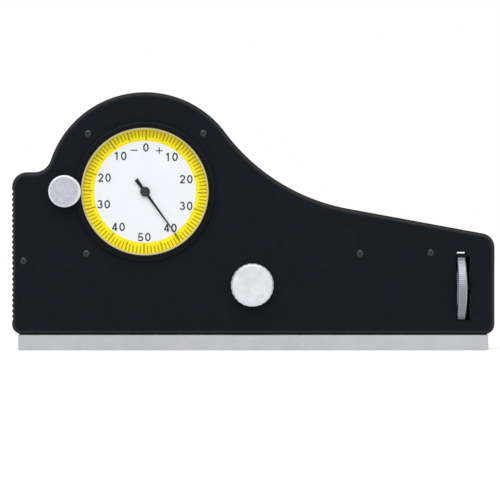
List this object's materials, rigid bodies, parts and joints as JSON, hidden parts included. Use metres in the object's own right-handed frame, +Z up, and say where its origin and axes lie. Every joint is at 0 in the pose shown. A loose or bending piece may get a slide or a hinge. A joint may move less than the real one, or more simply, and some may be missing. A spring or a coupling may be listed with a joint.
{
  "type": "thread pitch gauge",
  "caption": "Hand-held dial gauge for thread pitch: flat black housing, dial with turning bezel, clamp knobs, thumbwheel, and two ball contacts in a steel base shoe.",
  "frame": {"origin": "on the plane that the base shoe's rails stand on, under the middle of the gauge", "axes": "+X along the gauge from the dial end to the thumbwheel end, +Y from the dial to the back, +Z up"},
  "size_m": [0.15, 0.025, 0.0803],
  "materials": {
    "black_anodised": "satin black anodised",
    "black_bezel": "semi-gloss black",
    "blackened_steel": "blackened",
    "ground_steel": "ground",
    "satin_chrome": "satin chrome plate",
    "brass": "machined",
    "spring_steel": "drawn",
    "dial_enamel": "matte white enamel with a yellow scale ring",
    "cream_ring": "matte",
    "crystal": "clear",
    "pointer_black": "matte black",
    "carbide": "polished"
  },
  "bodies": {
    "housing": {"front_cover": "black_anodised", "rear_cover": "black_anodised", "base_shoe": "ground_steel", "cover_screw_1": "blackened_steel", "cover_screw_2": "blackened_steel", "cover_screw_3": "blackened_steel", "cover_screw_4": "blackened_steel", "cover_screw_5": "blackened_steel", "cover_screw_6": "blackened_steel", "shoe_screw_1": "ground_steel", "shoe_screw_2": "ground_steel", "shoe_screw_3": "ground_steel", "bracket_screw_1": "blackened_steel", "bracket_screw_2": "blackened_steel", "bracket_screw_3": "blackened_steel", "movement_screw_1": "blackened_steel", "movement_screw_2": "blackened_steel", "movement_screw_3": "blackened_steel", "movement_pillar_1": "brass", "movement_pillar_2": "brass", "movement_pillar_3": "brass", "movement_front_plate": "brass", "movement_rear_plate": "brass", "hairspring": "spring_steel", "left_bracket": "ground_steel", "right_bracket": "ground_steel", "end_bracket": "ground_steel", "guide_rod_front": "ground_steel", "guide_rod_rear": "ground_steel", "travel_stop": "brass", "spring_pin": "ground_steel", "return_spring": "spring_steel", "clamp_bush": "brass", "bezel_clamp_bush": "brass", "slot_pin": "satin_chrome"},
    "bezel": {"bezel_ring": "black_bezel", "crystal": "crystal", "dial_rim": "cream_ring", "dial_plate": "dial_enamel", "bezel_snap_ring": "spring_steel"},
    "bezel_clamp": {"bezel_clamp_knob": "satin_chrome"},
    "pointer": {"pointer": "pointer_black", "centre_arbor": "ground_steel"},
    "idler": {"idler_arbor": "ground_steel", "idler_gear": "brass"},
    "rack_drive": {"rack_arbor": "ground_steel", "rack_gear": "brass"},
    "sensing": {"sensing_slide": "ground_steel", "rack": "ground_steel", "sensing_stem": "ground_steel", "sensing_ball": "carbide"},
    "carriage": {"adjusting_carriage": "ground_steel", "adjusting_stem": "ground_steel", "adjusting_ball": "carbide"},
    "wheel": {"thumbwheel": "satin_chrome", "lead_screw": "ground_steel"},
    "clamp": {"clamp_knob": "satin_chrome", "clamp_stud": "ground_steel"},
    "pad": {"clamp_pad": "brass"}
  },
  "joints": [
    {"name": "bezel_turn", "type": "hinge", "parent": "housing", "child": "bezel", "pos_m": [-0.0336, 0, 0.0493], "axis": [0, 1, 0], "continuous": true},
    {"name": "bezel_clamp_turn", "type": "hinge", "parent": "housing", "child": "bezel_clamp", "pos_m": [-0.0582, 0, 0.0493], "axis": [0, 1, 0], "range_deg": [-180, 0]},
    {"name": "clamp_knob_turn", "type": "hinge", "parent": "housing", "child": "clamp", "pos_m": [-0.0003, 0, 0.0204], "axis": [0, 1, 0], "range_deg": [-181, 0]},
    {"name": "clamp_pad_lift", "type": "slide", "parent": "housing", "child": "pad", "axis": [0, -1, 0], "range_m": [0, 0.00025]},
    {"name": "pointer_turn", "type": "hinge", "parent": "housing", "child": "pointer", "pos_m": [-0.0336, 0, 0.0493], "axis": [0, 1, 0], "range_deg": [0, 433]},
    {"name": "sensing_travel", "type": "slide", "parent": "housing", "child": "sensing", "axis": [-1, 0, 0], "range_m": [0, 0.0012], "stiffness_N_per_m": 300, "springref_m": -0.002},
    {"name": "idler_turn", "type": "hinge", "parent": "housing", "child": "idler", "pos_m": [-0.0381, 0, 0.04151], "axis": [0, 1, 0], "range_deg": [-109, 0]},
    {"name": "rack_arbor_turn", "type": "hinge", "parent": "housing", "child": "rack_drive", "pos_m": [-0.0336, 0, 0.03424], "axis": [0, 1, 0], "range_deg": [0, 29]},
    {"name": "thumbwheel_turn", "type": "hinge", "parent": "housing", "child": "wheel", "pos_m": [0.0652, 0, 0.0193], "axis": [1, 0, 0], "range_deg": [-1801, 1801]},
    {"name": "carriage_travel", "type": "slide", "parent": "housing", "child": "carriage", "axis": [1, 0, 0], "range_m": [-0.005, 0.005]}
  ],
  "couplings": [
    {"joint": "clamp_knob_turn", "follows": "clamp_pad_lift", "rad_per_m": -12566},
    {"joint": "pointer_turn", "follows": "sensing_travel", "rad_per_m": 6283.2},
    {"joint": "idler_turn", "follows": "sensing_travel", "rad_per_m": -1570.8},
    {"joint": "rack_arbor_turn", "follows": "sensing_travel", "rad_per_m": 418.88},
    {"joint": "thumbwheel_turn", "follows": "carriage_travel", "rad_per_m": -6283.2}
  ]
}
